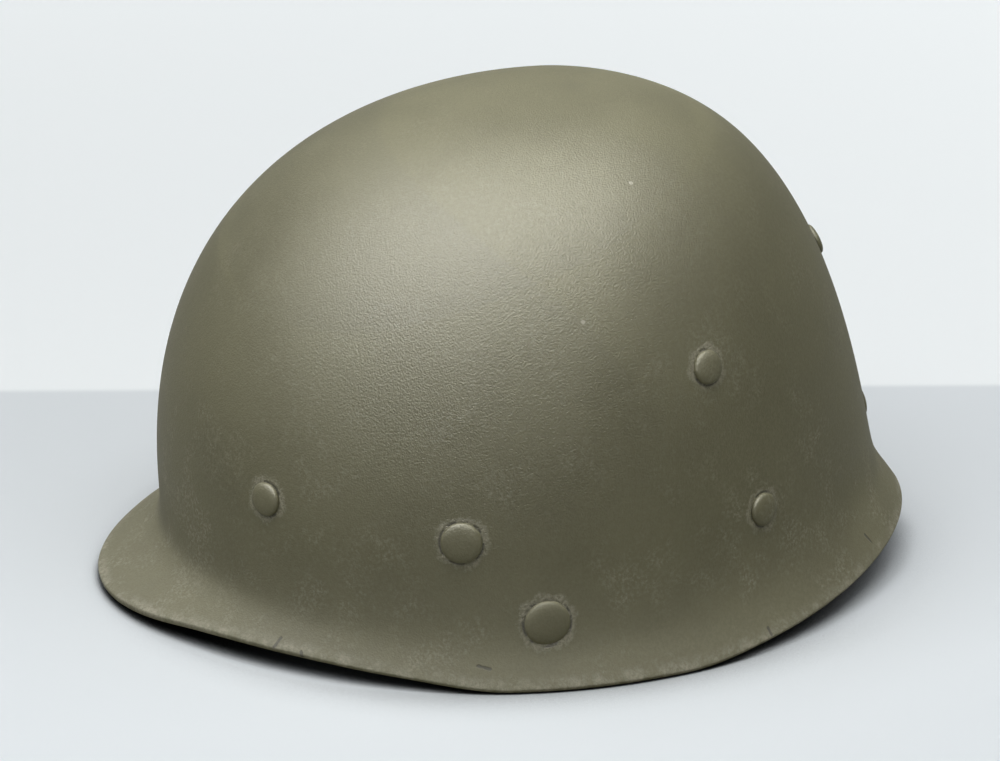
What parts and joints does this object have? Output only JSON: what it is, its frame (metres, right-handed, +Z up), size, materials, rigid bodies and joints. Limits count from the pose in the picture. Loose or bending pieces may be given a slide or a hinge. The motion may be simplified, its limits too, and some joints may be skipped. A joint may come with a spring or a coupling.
{
  "type": "helmet liner",
  "caption": "Fibre helmet liner: flared olive dome with riveted web suspension, leather sweatband, nape strap and a chinstrap that swings on side studs.",
  "frame": {"origin": "bottom centre of the overall box, on the table that the rim stands on", "axes": "+X to the wearer's left, +Y to the rear, +Z up"},
  "size_m": [0.233, 0.2748, 0.1626],
  "materials": {
    "painted_fibre": "matt olive paint with a fine sandy grain on laminated resin fibre",
    "painted_rivet": "matt olive paint over a pressed steel head",
    "washer_steel": "dark green enamelled pressed steel",
    "cotton_web": "herringbone cotton webbing, khaki green",
    "lace_cord": "round braided cotton lace",
    "sweatband_leather": "smooth tan leather, darkened with wear",
    "strap_leather": "brown harness leather with cut edges",
    "buckle_brass": "dull browned brass",
    "stud_brass": "dull spun brass"
  },
  "bodies": {
    "liner": {"shell": "painted_fibre", "suspension_rivets": "painted_rivet", "nape_rivets": "painted_rivet", "chinstrap_studs": "painted_rivet", "snap_caps": "painted_rivet", "snap_sockets": "stud_brass", "suspension_washers": "washer_steel", "nape_washers": "washer_steel", "stud_washers": "washer_steel", "headband": "cotton_web", "crown_strap_front_left": "cotton_web", "crown_strap_front_right": "cotton_web", "crown_strap_side_left": "cotton_web", "crown_strap_side_right": "cotton_web", "crown_strap_back": "cotton_web", "crown_lace": "lace_cord", "sweatband": "sweatband_leather", "sweatband_clips": "washer_steel", "sweatband_buckle": "buckle_brass", "nape_strap_centre": "cotton_web", "nape_strap_left": "cotton_web", "nape_strap_right": "cotton_web", "nape_buckle_left": "buckle_brass", "nape_buckle_right": "buckle_brass"},
    "chinstrap": {"chinstrap": "strap_leather", "chinstrap_hooks": "buckle_brass", "chinstrap_rivets": "buckle_brass", "chinstrap_keeper": "strap_leather"},
    "buckle": {"chinstrap_buckle": "buckle_brass"}
  },
  "joints": [
    {"name": "chinstrap_swing", "type": "hinge", "parent": "liner", "child": "chinstrap", "pos_m": [0, -0.0134, 0.021], "axis": [-1, 0, 0], "range_deg": [-30, 150]},
    {"name": "chinstrap_adjust", "type": "slide", "parent": "chinstrap", "child": "buckle", "axis": [-0.4296, 0.8951, -0.1195], "range_m": [-0.008, 0.01]}
  ]
}
